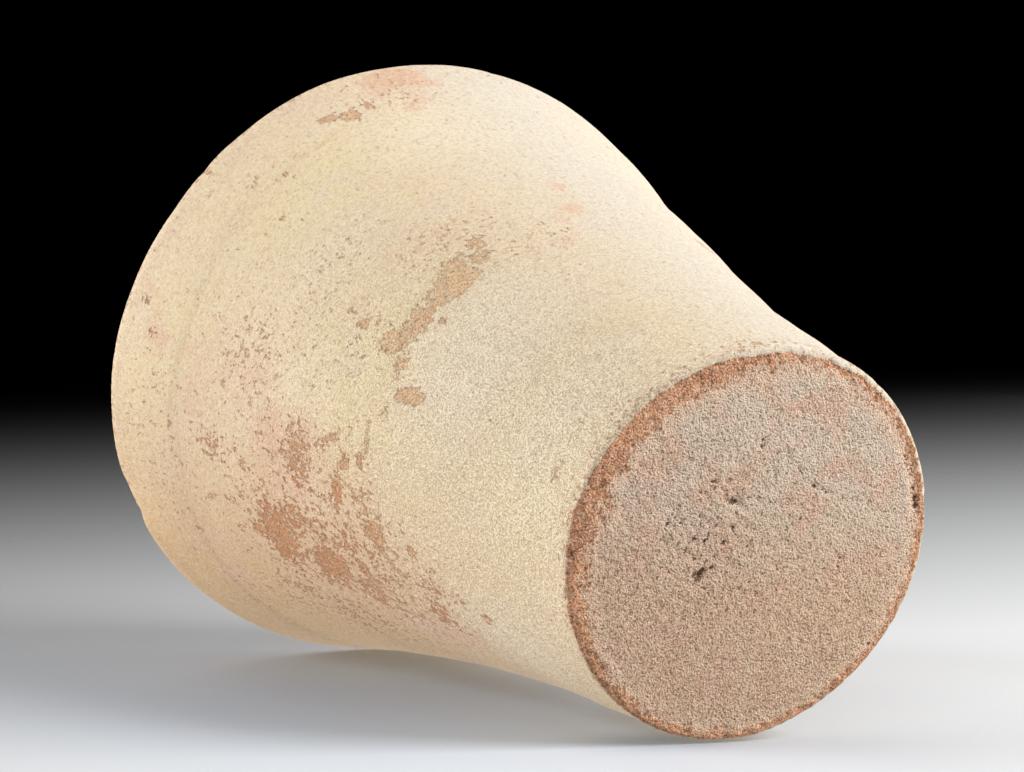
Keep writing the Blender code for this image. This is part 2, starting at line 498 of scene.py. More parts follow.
# Around the rubbed flank the clay is redder
redder = patches(soft=18.0, rows=(
    (-10.0, 100.0, 26.0, 32.0, 0, 1.0),
    (-18.0, 58.0, 16.0, 16.0, 0, 0.9),
    (10.0, 100.0, 12.0, 12.0, 0, 0.8),
    (8.0, 135.0, 8.0, 8.0, 0, 0.8),
    (-140.0, 95.0, 34.0, 44.0, 0, 0.8),
))

# Where the slip is thin and the clay's pink shows through, as it does below the rim
thin_slip = patches(soft=6.0, rows=(
    (12.0, 108.0, 13.0, 12.0, 0, 0.55),
    (24.0, 124.0, 8.0, 12.0, 0, 0.42),
    (-6.0, 120.0, 10.0, 12.0, 0, 0.2),
    (33.0, 164.0, 2.0, 6.0, -20, 0.55),
    (26.0, 158.0, 2.0, 3.5, -20, 0.6),
    (96.5, 165.0, 8.0, 5.5, 0, 1.0),
    (92.6, 163.0, 1.5, 3.5, 0, 1.0),
    (101.0, 160.0, 7.0, 3.0, -12, 0.6),
    (94.8, 148.7, 1.6, 2.4, 0, 0.95),
    (98.0, 153.7, 2.5, 4.0, 20, 0.6),
    (106.6, 98.6, 1.6, 1.6, 0, 1.0),
    (103.6, 85.6, 2.6, 1.4, 35, 0.8),
    (98.0, 80.5, 4.0, 2.5, 35, 0.5),
    (93.6, 70.8, 1.8, 2.6, 0, 0.7),
    (-29.0, 68.0, 4.0, 16.0, 0, 1.1),
    (-18.0, 146.0, 12.0, 9.0, 0, 0.45),
    (22.0, 140.0, 14.0, 10.0, 0, 0.3),
    (23.4, 155.8, 3.0, 1.6, 0, 0.6),
    (55.0, 99.0, 12.0, 4.0, 0, 0.3),
    (76.0, 96.0, 9.0, 4.0, 0, 0.45),
    (56.0, 168.0, 60.0, 3.0, 0, 0.25),
    (-95.0, 106.0, 18.0, 14.0, 0, 0.5),
    (-66.0, 74.0, 14.0, 10.0, 0, 0.4),
    (-120.0, 36.0, 16.0, 8.0, 0, 0.5),
    (-150.0, 150.0, 16.0, 8.0, 0, 0.6),
    (150.0, 40.0, 10.0, 9.0, 0, 0.5),
))

# Faint lines where the last wiping of the rim ended, sunk a little and darkened with painted shade
lines = patches(soft=1.0, rows=(
    (-6.0, 147.4, 20.0, 0.5, -2, 0.9),
    (6.0, 150.4, 26.0, 0.3, -3, 0.55),
    (28.0, 148.6, 24.0, 0.4, 2, 0.7),
    (40.0, 152.4, 22.0, 0.3, 1, 0.5),
    (62.0, 150.4, 22.0, 0.3, -2, 0.5),
    (52.0, 145.0, 16.0, 0.3, 2, 0.4),
    (-4.0, 156.6, 16.0, 0.3, 0, 0.4),
    (8.0, 161.4, 20.0, 0.3, 0, 0.4),
))

# Broad stretches where the slip is yellower, others where it has a pale bloom, others where it is
# stained tan, and others a little darker. All drift into each other. It is whiter round one side
# and tan round another, partly its own colour and partly painted highlight and painted shade, and
# one tan patch round the back is painted shade. turned counts the angle on past the back, so that
# this has no seam there.
TURNED_FROM = -120
turned = np.remainder(degrees - TURNED_FROM, 360) + TURNED_FROM
drift = 0.5 + 0.5 * wander(34.0, seed=21.0) + 0.3 * wander(12.0, seed=23.0)
yellower = patches(soft=20.0, rows=(
    (32.0, 84.0, 30.0, 17.0, 0, 1.0),
    (14.0, 62.0, 16.0, 12.0, 0, 0.9),
    (20.0, 20.0, 50.0, 16.0, 0, 0.6),
    (34.0, 100.0, 20.0, 12.0, 0, 0.8),
    (66.0, 140.0, 24.0, 14.0, 0, 0.9),
    (30.0, 152.0, 18.0, 10.0, 0, 0.8),
    (-130.0, 70.0, 40.0, 20.0, 0, 0.8),
    (-85.0, 120.0, 26.0, 16.0, 0, 0.9),
    (170.0, 30.0, 30.0, 16.0, 0, 0.7),
))
bloom = patches(soft=16.0, rows=(
    (92.0, 135.0, 14.0, 12.0, 0, 0.5),
    (56.0, 117.0, 12.0, 8.0, 0, 0.4),
    (5.0, 100.0, 4.0, 6.0, 0, 0.8),
    (56.0, 56.0, 24.0, 18.0, 0, 0.75),
    (52.0, 20.0, 20.0, 12.0, 0, 0.5),
    (-22.0, 34.0, 10.0, 20.0, 0, 0.7),
    (-75.0, 64.0, 20.0, 14.0, 0, 0.6),
    (24.0, 108.0, 9.0, 9.0, 0, 0.35),
    (-110.0, 130.0, 26.0, 16.0, 0, 0.6),
))
paler = rise_over(turned, 78, 122) * rise_over(-turned, -190, -128) * (0.85 + 0.3 * drift)
tanned = rise_over(-degrees, -26, 24) * rise_over(degrees, -150, -80) * (0.8 + 0.4 * drift)
tanned *= (0.4 + 0.6 * rise_over(height, 5, 110)) * (1 - 0.5 * rise_over(-degrees, 38, 72))
stains_and_shade = patches(soft=24.0, rows=(
    (-8.0, 100.0, 24.0, 30.0, 0, 0.9),
    (-20.0, 110.0, 14.0, 16.0, 0, 1.0),
    (-100.0, 150.0, 30.0, 14.0, 0, 0.5),
    (178.0, 120.0, 40.0, 30.0, 0, 0.45),
))
tanned = np.maximum(tanned, stains_and_shade)
duller = patches(soft=20.0, rows=(
    (8.0, 142.0, 30.0, 14.0, 0, 0.9),
    (-12.0, 114.0, 18.0, 14.0, 0, 0.9),
    (21.0, 50.0, 12.0, 12.0, 0, 0.9),
    (92.0, 168.0, 20.0, 6.0, 0, 0.7),
    (-38.0, 158.0, 18.0, 14.0, 0, 1.0),
    (-24.0, 112.0, 12.0, 16.0, 0, 0.9),
))

# How sandy the slip feels: like fine sandpaper near the foot, and smooth towards the rim and on
# the whiter side
sandy = 0.3 + 0.7 * rise_over(-height, -165, -15)
sandy *= 1 - 0.6 * rise_over(turned, 60, 115) * rise_over(-turned, -225, -170)

# The underside is greyer towards one side and browner towards another. There the drift is its
# own, from tan to grey.
greyer = rise_over(places[:, 1] - 0.4 * places[:, 0], -34, 30)
drift = np.where(under > 0, greyer + 0.2 * (drift - 0.5), drift)
browner = rise_over(places[:, 0] - 0.9 * places[:, 1], -42, 46)

# The slip ends in a ragged line at the foot, and the bare edge beside it is burnt red-brown. A row
# is an angle, how far in from the edge the burnt band starts (below 0, up the wall), its width, and
# how solid it is.
BAND_ROWS = (
    (-180, -0.6, 2.8, 0.85), (-135, -0.8, 3.0, 0.9), (-90, -0.8, 2.8, 1.0), (-60, -0.8, 3.0, 1.0),
    (-30, -1.2, 3.8, 1.05), (0, -1.2, 4.6, 1.1), (15, -1.3, 5.4, 1.15), (30, -1.1, 6.2, 1.15),
    (45, 0.1, 5.4, 1.15), (60, 0.6, 5.2, 1.15), (75, 1.1, 5.0, 1.1), (90, 0.9, 5.2, 1.0),
    (105, 1.4, 4.4, 0.78), (120, 0.9, 3.8, 0.74), (135, 0.5, 3.4, 0.74), (150, 0.0, 3.2, 0.78),
    (180, -0.6, 2.8, 0.85),
)
band_angles, band_starts, band_widths, band_solids = zip(*BAND_ROWS)
band_start = np.interp(degrees, band_angles, band_starts)
band_start += 0.45 * wander(2.4, seed=16.0) + 0.45 * wander(6.0, seed=35.0)
band_width = np.interp(degrees, band_angles, band_widths) * (1 + 0.3 * wander(7.0, seed=15.0))
into_band = BASE_RADIUS + FOOT_SPREAD - radius - height - band_start
slip_ends = np.clip(0.5 + into_band, 0, 1) * (1 - inside)
band = slip_ends * np.clip(1 - into_band / band_width / 2, 0, 1)
band *= np.interp(degrees, band_angles, band_solids)

# Specks and pits crowd where the slip is worn, and about a place near the underside's middle.
CROWD_PLACE = (7.0, 5.0)
CROWD_SPREAD = 11.0
from_crowd = np.hypot(places[:, 0] - CROWD_PLACE[0], places[:, 1] - CROWD_PLACE[1]) / CROWD_SPREAD
crowding = 0.35 + 0.65 * np.exp(-((from_crowd / 1.5) ** 2))
crowded = np.where(under > 0, crowding, worn_through * 1.1 + drift * 0.3)

# Relief, as a depth below the smooth form, in millimetres: slow unevenness, a lip drawn in a
# little, the wiping marks that run around the wall, and the slip's thickness where it is gone
UNEVENNESS = 0.10
SMALL_UNEVENNESS = 0.05
LIP_DRAWN_IN = 0.22
WIPING_DEPTH = 0.02
RIM_WIPING_DEPTH = 0.05
SLIP_THICKNESS = 0.08
LINE_DEPTH = 0.10
depth = UNEVENNESS * (1 + wander(26.0)) + SMALL_UNEVENNESS * (1 + wander(9.0, seed=5.0))
depth -= LIP_DRAWN_IN * outside * rise_over(-height, -168, -158)
wiping = wander(1.9, 14.0, 3.0) + 0.8 * wander(3.6, 22.0, 8.0)
near_rim = rise_over(height, 132, 148)
depth += outside * (WIPING_DEPTH + RIM_WIPING_DEPTH * near_rim) * (1.6 + wiping)
depth += SLIP_THICKNESS * rise_over(worn_through, 0.3, 0.9) + LINE_DEPTH * lines

# The rim was wiped last, which left its slip a little thicker down to a line below it, and the
# wall swells and sinks under the potter's hands.
WIPED_DOWN_TO = 149.5
WIPED_EDGE = 0.24
below_wiping = rise_over(WIPED_DOWN_TO + 0.5 * wander(24.0, seed=33.0) - height, -0.7, 0.7)
depth += WIPED_EDGE * outside * below_wiping * rise_over(height, 118, 146)
depth -= mounds((
    (152, 125, 24, 7, -0.5),
    (151, 110, 24, 7, 0.3),
    (149, 95, 26, 12, 0.6),
    (143, 46, 24, 11, -0.65),
    (138, 17, 20, 8, 0.4),
    (150, 172, 18, 8, -0.5),
    (157, 154, 14, 9, 0.3),
    (-48, 20, 14, 12, 0.5),
    (-178, 1, 40, 4, 0.7),
))

# The grit of the underside, which is coarser in the burnt band at its edge
GRIT_DEPTH = 0.10
EDGE_GRIT_DEPTH = 0.30
coarse = 0.9 * wander(1.2, seed=11.0) + wander(2.4, seed=2.0) + 0.8 * wander(7.0, seed=7.0)
depth += under * GRIT_DEPTH * (2.2 + coarse)
edge_coarse = wander(1.5, seed=4.0) + wander(3.2, seed=19.0)
depth += np.minimum(1, band * 1.6) * EDGE_GRIT_DEPTH * (0.6 + edge_coarse)

# Pits, dug one by one where grit or straw left the clay. Painted shade grows with them, darkening
# each pit.
dirt = np.zeros(len(places))
tree = kdtree.KDTree(len(places))
for index, place in enumerate(places.tolist()):
    tree.insert(place, index)
tree.balance()


def pit(centre, size, sunk, pit_shading=1.0):
    """Sinks a round-bottomed pit this wide across and this deep into the nearest surface, and darkens
    it with painted shade.
    """
    half = size / 2
    for _, index, distance in tree.find_range(centre, half * 2.2):
        fall = math.exp(-((distance / half) ** 2))
        depth[index] += sunk * fall
        dirt[index] = min(1.0, dirt[index] + pit_shading * fall)


def on_wall(at, up):
    """The point of the outer wall at this angle in degrees and this height."""
    turn = math.radians(at)
    across = strayed(outer_point(up / LIP_HEIGHT)[0], turn, up)
    return (*swayed(across, turn, up), up)


# Pits are strewn over the underside, and over half of them crowd about a place near its middle
chance = random.Random(41)
UNDERSIDE_PITS = 300
CROWDED_PITS = 340
for number in range(UNDERSIDE_PITS + CROWDED_PITS):
    reach = (BASE_RADIUS - 1.5) * math.sqrt(chance.random())
    turn = chance.uniform(-math.pi, math.pi)
    size = chance.choice((0.7, 0.7, 0.8, 0.9, 1.2))
    centre = (reach * math.cos(turn), reach * math.sin(turn), 0)
    if number >= UNDERSIDE_PITS:
        x = chance.gauss(CROWD_PLACE[0], CROWD_SPREAD)
        centre = (x, chance.gauss(CROWD_PLACE[1], CROWD_SPREAD), 0)
    pit(centre, size, size * chance.uniform(0.12, 0.3), chance.uniform(0.1, 0.7))

# The pits of the underside that stand out: place, width, depth
for x, y, size, sunk in (
    (13.0, -2.6, 1.9, 1.3),
    (12.0, -1.8, 1.1, 0.6),
    (14.2, -3.2, 1.0, 0.5),
    (2.2, 10.9, 1.5, 0.8),
    (1.4, 10.5, 1.0, 0.6),
    (-1.6, 10.6, 0.9, 0.4),
    (5.6, 16.8, 1.1, 0.5),
    (-7.0, 20.6, 1.1, 0.6),
    (-7.4, 22.0, 0.9, 0.4),
    (-18.0, 7.4, 1.1, 0.5),
    (-21.4, -11.2, 1.0, 0.5),
    (18.6, 11.4, 1.1, 0.4),
    (16.2, 12.6, 0.9, 0.3),
    (42.4, 13.2, 1.6, 0.7),
    (-42.6, -4.6, 1.8, 0.8),
    (-42.4, -6.4, 1.3, 0.6),
):
    pit((x, y, 0), size, sunk)

# Cracks in the underside, each from point to point, as close rows of small pits of uneven depth
CRACKS = (
    ((12.0, -1.6), (10.4, 1.6), (11.4, 5.0)),
    ((13.4, -3.2), (12.6, -6.8)),
    ((14.6, -2.0), (17.4, -3.8)),
    ((15.0, 4.4), (14.0, 8.6), (16.6, 11.8)),
    ((-8.6, 16.6), (-8.8, 12.6)),
    ((-14.6, 13.6), (-15.2, 10.8)),
    ((-17.2, 8.4), (-19.6, 5.6), (-21.4, 4.2)),
    ((-21.6, -11.4), (-20.2, -14.2), (-22.0, -16.6)),
    ((-20.2, -14.2), (-18.2, -15.8)),
    ((6.2, 17.0), (9.6, 16.0), (13.2, 15.4)),
    ((-8.0, 7.2), (-9.4, 6.2)),
    ((-21.8, -20.0), (-21.4, -18.4)),
    ((14.0, 5.4), (11.4, 7.6), (9.8, 10.2)),
    ((12.4, 0.8), (14.8, 3.2), (17.8, 5.6), (18.8, 9.0)),
    ((-4.2, 13.2), (-6.6, 10.4)),
)
CRACK_STEP = 0.45
CRACK_WANDER = 0.35
CRACK_WIDTH = 0.56
CRACK_DEPTH = 0.42
for crack in CRACKS:
    for first, last in zip(crack, crack[1:]):
        steps = math.ceil(math.dist(first, last) / CRACK_STEP)
        for along in evenly(0, 1, steps):
            x = first[0] + (last[0] - first[0]) * along
            x += chance.uniform(-CRACK_WANDER, CRACK_WANDER)
            y = first[1] + (last[1] - first[1]) * along
            y += chance.uniform(-CRACK_WANDER, CRACK_WANDER)
            sunk = chance.uniform(0.0, CRACK_DEPTH)
            pit((x, y, 0), CRACK_WIDTH, sunk, chance.uniform(0.0, 0.85))

# Nicks in the foot's worn edge
EDGE_NICKS = 150
for _ in range(EDGE_NICKS):
    turn = chance.uniform(-math.pi, math.pi)
    reach = BASE_RADIUS + chance.uniform(-2.4, 0.6)
    centre = (reach * math.cos(turn), reach * math.sin(turn), chance.choice((0.0, 0.0, 0.6, 1.4)))
    size = chance.uniform(0.8, 1.8)
    pit(centre, size, size * chance.uniform(0.08, 0.25), chance.uniform(0.1, 0.6))

# A shallow groove beside the edge, which leaves it as a bead there
GROOVE_ANGLE = 178
GROOVE_HALF_LENGTH = 13.0
GROOVE_RADIUS = 41.9
GROOVE_HALF_WIDTH = 0.7
GROOVE_DEPTH = 0.32
groove = np.exp(-((around_wall(GROOVE_ANGLE) / GROOVE_HALF_LENGTH) ** 2))
groove *= np.exp(-(((radius - GROOVE_RADIUS) / GROOVE_HALF_WIDTH) ** 2)) * under
depth += GROOVE_DEPTH * groove
# The groove is darkened with painted shade
dirt = np.maximum(dirt, 0.5 * groove * (1 + wander(1.1, seed=9.0)))

# Pits scattered over the outer wall, and nicks in the lip: angle, height, width, depth
WALL_PITS = 260
for _ in range(WALL_PITS):
    size = chance.uniform(1.2, 2.2)
    centre = on_wall(chance.uniform(-180, 180), chance.uniform(4, 168))
    pit(centre, size, size * chance.uniform(0.04, 0.12), chance.uniform(0.0, 0.45))
for at, up, size, sunk in (
    (56.9, 172.8, 2.4, 0.45),
    (-4.5, 171.0, 3.0, 0.5),
    (-10.5, 172.3, 3.0, 0.7),
    (121, 171.5, 2.4, 0.2),
    (-90, 172.4, 4.5, 0.6),
    (-150, 172.6, 3.0, 0.5),
    (170, 172.2, 3.6, 0.5),
):
    pit(on_wall(at, up), size, sunk, 0.5)

# The lip is uneven, and dips in two places: angle, half length, depth
LIP_UNEVENNESS = 0.12
LIP_ROUGHNESS = 0.07
depth += lip_top * LIP_UNEVENNESS * (1 + wander(11.0, seed=6.0))
depth += lip_top * LIP_ROUGHNESS * (1 + wander(2.0, seed=8.0))
for at, half, dip in ((98, 11.0, 0.35), (47, 12.0, 0.30)):
    depth += lip_top * dip * np.exp(-((around_wall(at) / half) ** 2))

places = places - normals * depth[:, None]
places[:, 2] = np.maximum(places[:, 2], STANDING_GAP)
put(places * MM)

# Slip and clay are blotched alike, over the finished surface
blotches = 0.5 + 0.7 * wander(10.0, seed=27.0) + 0.3 * wander(4.0, seed=29.0)

paint("worn_through", worn_through)
paint("thin_slip", thin_slip)
paint("yellower", yellower)
paint("bloom", bloom)
paint("paler", paler)
paint("tanned", tanned)
paint("duller", duller)
paint("lines", lines)
paint("drift", drift)
paint("band", band)
paint("dirt", dirt)
paint("underside", under * slip_ends)
paint("crowded", crowded)
paint("sandy", sandy)
paint("redder", redder)
paint("browner", browner)
paint("inside", inside)
paint("blotches", blotches)


class Wire:
    """A number, colour or vector on its way through a material's nodes. Sums and products of
    wires add the Math nodes that work them out."""

    def __init__(self, socket):
        self.socket = socket

    def node(self, kind, settings=(), inputs=(), output=0):
        """The wire out of a new node in the same material. settings are set first, and a ramp's
        stops are (place, colour) pairs. inputs are the values or wires of its sockets."""
        tree = self.socket.id_data
        new = tree.nodes.new(kind)
        for name, value in dict(settings).items():
            if name == "stops":
                ramp = new.color_ramp.elements
                while len(ramp) < len(value):
                    ramp.new(0.5)
                for element, (place, colour) in zip(ramp, value):
                    element.position = place
                    element.color = (*colour, 1)
            else:
                setattr(new, name, value)
        for key, value in dict(inputs).items():
            if isinstance(value, Wire):
                tree.links.new(value.socket, new.inputs[key])
            else:
                new.inputs[key].default_value = value
        return Wire(new.outputs[output])

    def maths(self, operation, *others):
        """This number and others, put through a Math node."""
        return self.node("ShaderNodeMath", {"operation": operation}, enumerate((self, *others)))

    def __add__(self, other):
        return self.maths("ADD", other)

    __radd__ = __add__

    def __sub__(self, other):
        return self.maths("SUBTRACT", other)

    def __rsub__(self, other):
        return self * -1 + other

    def __mul__(self, other):
        return self.maths("MULTIPLY", other)

    __rmul__ = __mul__

    def atleast(self, other):
        return self.maths("MAXIMUM", other)

    def atmost(self, other):
        return self.maths("MINIMUM", other)

    def step(self, start, end):
        """0 up to start and 1 from end on, with a smooth rise between them."""
        settings = {"interpolation_type": "SMOOTHSTEP"}
        inputs = {"Value": self, "From Min": start, "From Max": end}
        return self.node("ShaderNodeMapRange", settings, inputs)

    def stretched(self, x, y, z):
        """This vector, with its parts multiplied."""
        inputs = {0: self, 1: (x, y, z)}
        return self.node("ShaderNodeVectorMath", {"operation": "MULTIPLY"}, inputs)

    def cloud(self, size, detail=2.0, rough=0.5, bend=0.0, seed=0.0):
        """Soft noise at this vector, from 0 to 1, with lumps of this size."""
        moved = self.node("ShaderNodeVectorMath", {"operation": "ADD"}, {0: self, 1: (seed,) * 3})
        inputs = {"Vector": moved, "Scale": 1 / size, "Detail": detail, "Roughness": rough}
        inputs["Distortion"] = bend
        return self.node("ShaderNodeTexNoise", (), inputs)

    def grains(self, size, seed=0.0):
        """Distance from the nearest of many scattered grains, in grain sizes, and that grain's
        own number from 0 to 1."""
        moved = self.node("ShaderNodeVectorMath", {"operation": "ADD"}, {0: self, 1: (seed,) * 3})
        near = moved.node("ShaderNodeTexVoronoi", (), {"Vector": moved, "Scale": 1 / size})
        colour = Wire(near.socket.node.outputs["Color"])
        return near, colour.node("ShaderNodeSeparateColor", (), {0: colour})

    def between(self, first, second):
        """A colour from first to second, where this number goes from 0 to 1."""
        inputs = {0: self, 6: (*first, 1), 7: (*second, 1)}
        return self.node("ShaderNodeMix", {"data_type": "RGBA"}, inputs, 2)

    def over(self, colour, share):
        """This colour with another laid over it, by share from 0 to 1."""
        colour = colour if isinstance(colour, Wire) else (*colour, 1)
        inputs = {0: share, 6: self, 7: colour}
        return self.node("ShaderNodeMix", {"data_type": "RGBA"}, inputs, 2)


def material_named(name):
    """A new material and its main shader."""
    material = bpy.data.materials.new(name)
    material.use_nodes = True
    return material, material.node_tree.nodes["Principled BSDF"]


slipped_clay, shader = material_named("slipped_clay")
coordinate = slipped_clay.node_tree.nodes.new("ShaderNodeTexCoord")
spot = Wire(coordinate.outputs["Object"]).stretched(1 / MM, 1 / MM, 1 / MM)


def field(name):
    """One of the fields painted on the mesh."""
    return spot.node("ShaderNodeAttribute", {"attribute_name": name}, (), "Fac")


# The painted fields, and noises of these sizes in millimetres. The crumbs are drawn out up the
# wall, the wiping marks around it, and the specks are found at a bent place, so that none is round.
SAND_SIZE = 0.34
GRIT_SIZE = 0.45
GRAIN_SIZE = 0.95
CRUMB_SIZE = 1.6
WIPING_SIZE = 1.6
wear = field("worn_through")
red = field("redder")
sandiness = field("sandy")
edge_band = field("band")
bottom = field("underside").step(0.35, 0.6)
within = field("inside")
pit_shading = field("dirt")
blotch = field("blotches")
drifting = field("drift")
sand = spot.cloud(SAND_SIZE, 1.0, 0.5, seed=12.0)
sand_dips = sand.step(0.50, 0.64)
grit = spot.cloud(GRIT_SIZE, 2.0, 0.6, seed=8.0)
grain = spot.cloud(GRAIN_SIZE, 2.0, 0.6, seed=1.0)
crumbs = spot.stretched(1.0, 1.0, 0.62).cloud(CRUMB_SIZE, 5.0, 0.72, seed=4.0)
wiped = spot.stretched(0.08, 0.08, 1.0).cloud(WIPING_SIZE, 2.0, 0.55, seed=6.0)
wobble = spot.node("ShaderNodeVectorMath", {"operation": "SCALE"}, {0: (1.1, -0.8, 0.9), 3: grain})
bent = spot.node("ShaderNodeVectorMath", {"operation": "ADD"}, {0: spot, 1: wobble})


def specks(size, reach, share, seed):
    """Specks about this far apart. reach is how far each spreads, as a part of that distance, and
    share is the part of them that shows."""
    near, kind = bent.grains(size, seed)
    shown = (kind - (1 - share)).step(0.0, 0.2)
    return (reach - near).step(0.0, 0.14) * shown


# The slip: cream, drifting from yellow to pinkish white, and mottled all over like fine sand, with
# painted shade in the dips of its sand and grain and a painted highlight on their tops
CREAM = (0.86, 0.675, 0.44)
YELLOW_CREAM = (0.87, 0.72, 0.405)
PALE_CREAM = (0.83, 0.70, 0.56)
WHITE_CREAM = (0.79, 0.715, 0.59)
PINK_CREAM = (0.80, 0.49, 0.325)
TAN_CREAM = (0.74, 0.46, 0.225)
DARK_CREAM_AND_SHADE = (0.62, 0.445, 0.275)
CREAM_HIGHLIGHT = (0.95, 0.86, 0.70)
BLOOM_CREAM = (0.96, 0.84, 0.65)
SPECK = (0.34, 0.175, 0.085)
SAND_SPECK_SIZE = 0.62
pink = (field("thin_slip") * 1.2 + (crumbs - 0.5) * 0.9 + (blotch - 0.5) * 0.45).step(0.1, 0.9)
slip = (drifting * 0.35).between(CREAM, PALE_CREAM)
slip = slip.over(YELLOW_CREAM, field("yellower") * 0.8)
slip = slip.over(PALE_CREAM, blotch.step(0.55, 1.0) * 0.35)
slip = slip.over(YELLOW_CREAM, (1 - blotch).step(0.55, 1.0) * 0.4)
# Tan and whiter sides: partly the slip's own colour, partly painted shade and painted highlight
slip = slip.over(TAN_CREAM, field("tanned"))
slip = slip.over(WHITE_CREAM, field("paler"))
slip = slip.over(BLOOM_CREAM, field("bloom") * 0.8)
slip = slip.over(PINK_CREAM, pink * 0.9)
slip = slip.over(DARK_CREAM_AND_SHADE, field("duller") * 0.3)
slip = slip.over(DARK_CREAM_AND_SHADE, crumbs.step(0.50, 0.72) * 0.28 + wiped.step(0.52, 0.8) * 0.16)
# Painted shade in the dips of grain and sand, and a painted highlight on their tops
slip = slip.over(DARK_CREAM_AND_SHADE, grain.step(0.50, 0.64) * 0.26)
slip = slip.over(CREAM_HIGHLIGHT, (1 - grain).step(0.50, 0.64) * 0.26)
slip = slip.over(CREAM_HIGHLIGHT, (1 - sand).step(0.50, 0.62) * sandiness * 0.5)
# The wiping lines are darkened with painted shade
slip = slip.over(DARK_CREAM_AND_SHADE, sand_dips * sandiness * 0.8 + field("lines") * 0.5)
slip = slip.over(SPECK, specks(SAND_SPECK_SIZE, 0.36, 0.4, 61.0) * sandiness * 0.5)

# The clay where the slip has gone: tan where it is smooth, redder and browner on the rubbed flank,
# with painted shade in its dips and a painted highlight on its tops
TAN_CLAY = (0.89, 0.62, 0.37)
RED_CLAY = (0.68, 0.325, 0.155)
CLAY_SHADE = (0.38, 0.18, 0.09)
CLAY_HIGHLIGHT = (0.88, 0.65, 0.44)
crumbling = wear + (crumbs - 0.5) * 2.5 + (grain - 0.5) * 1.3 - 0.5
deep = crumbling.step(0.0, 0.5)
clay = (red * (0.75 + deep * 0.25) + blotch.step(0.45, 0.85) * 0.3).atmost(1.0)
clay = clay.between(TAN_CLAY, RED_CLAY)
# Painted shade in the clay's dips and a painted highlight on its tops
clay = clay.over(CLAY_SHADE, grain.step(0.50, 0.66) * 0.3 + sand_dips * 0.4)
clay = clay.over(CLAY_HIGHLIGHT, (1 - grain).step(0.50, 0.66) * 0.4)

# The worn places break up into crumbs where the wear is slight. Around them the slip is so thin
# that it is stained, and their borders get a painted shadow of the slip's edge.
worn = crumbling.step(-0.02, 0.14)
stain = crumbling.step(-0.45, 0.0) * (0.2 + red * 0.4)
border = crumbling.step(-0.06, 0.04) * (1 - crumbling.step(0.06, 0.22))
surface = slip.over(PINK_CREAM, stain).over(clay, worn)
surface = surface.over(CLAY_SHADE, border * 0.14)

# Specks: dark grains of temper and little pits, in crowds
SMALL_SPECK_SIZE = 1.25
LARGE_SPECK_SIZE = 3.4
crowd = field("crowded")
small_specks = specks(SMALL_SPECK_SIZE, 0.34, 0.42, 31.0) * (0.25 + crowd * 0.75)
large_specks = specks(LARGE_SPECK_SIZE, 0.20, 0.42, 47.0) * (0.15 + crowd * 0.85)
speckled = small_specks.atleast(large_specks)

# The underside: pinkish buff, cloudy with grey and tan, all sharp grit with a painted highlight on
# its tops and painted shade in the gaps between
GREY_BUFF = (0.86, 0.67, 0.51)
PINK_BUFF = (0.89, 0.53, 0.37)
TAN_BUFF = (0.88, 0.585, 0.375)
BROWN_BUFF = (0.60, 0.375, 0.255)
GRIT_HIGHLIGHT = (0.96, 0.82, 0.67)
SHADE_IN_HOLES = (0.13, 0.06, 0.03)
BAND_CLAY = (0.82, 0.375, 0.185)
BAND_BROWN = (0.62, 0.27, 0.13)
BAND_PALE = (0.97, 0.66, 0.46)
BAND_SHADE = (0.22, 0.075, 0.025)
bare = drifting.step(0.1, 0.9).between(TAN_BUFF, GREY_BUFF)
bare = bare.over(PINK_BUFF, blotch.step(0.45, 0.85) * 0.7)
bare = bare.over(BROWN_BUFF, field("browner") * 0.5)
bare = bare.over(BAND_PALE, (edge_band + (crumbs - 0.5) * 0.5).step(0.0, 0.3) * 0.7)
# Painted highlight on the grit's tops, and painted shade in its gaps and in the chasms where specks
# crowd
bare = bare.over(GRIT_HIGHLIGHT, (1 - grit).step(0.5, 0.64) * 0.6)
grit_gaps = grit.step(0.54, 0.68)
chasms = crumbs.step(0.60, 0.72) * crowd
bare = bare.over(SHADE_IN_HOLES, grit_gaps * 0.65)
bare = bare.over(SHADE_IN_HOLES, chasms * 0.85)

# The bare edge of the foot, fired red-brown, with a painted highlight on its grit and painted shade
# in its gaps and dips
burnt = blotch.step(0.3, 0.8).between(BAND_CLAY, BAND_BROWN)
burnt = burnt.over(BAND_PALE, ((1 - grit).step(0.5, 0.62) + (1 - crumbs).step(0.5, 0.7) * 0.5) * 0.75)
burnt = burnt.over(BAND_SHADE, (grit_gaps + grain.step(0.53, 0.66) * 0.8).atmost(1.0) * 0.75)
ragged = (edge_band + (crumbs - 0.5) * 1.1 + (grain - 0.5) * 0.8).step(0.36, 0.64)
ragged = ragged * edge_band.step(0.0, 0.15)
surface = surface.over(bare, bottom)
surface = surface.over(burnt, ragged * 0.92)
surface = surface.over(SPECK, speckled * (0.66 + bottom * 0.25))
# Pits, cracks and the groove are darkened with painted shade
surface = surface.over(SHADE_IN_HOLES, (pit_shading + (grit - 0.5) * 1.6).step(0.46, 0.68) * 0.88)

# The inside is plainer: the same slip, thinner and browner, without the wear
INNER_SLIP = (0.66, 0.50, 0.33)
inner = slip.over(INNER_SLIP, 0.45)
inner = inner.over(SPECK, small_specks * 0.4)
surface = surface.over(inner, within)

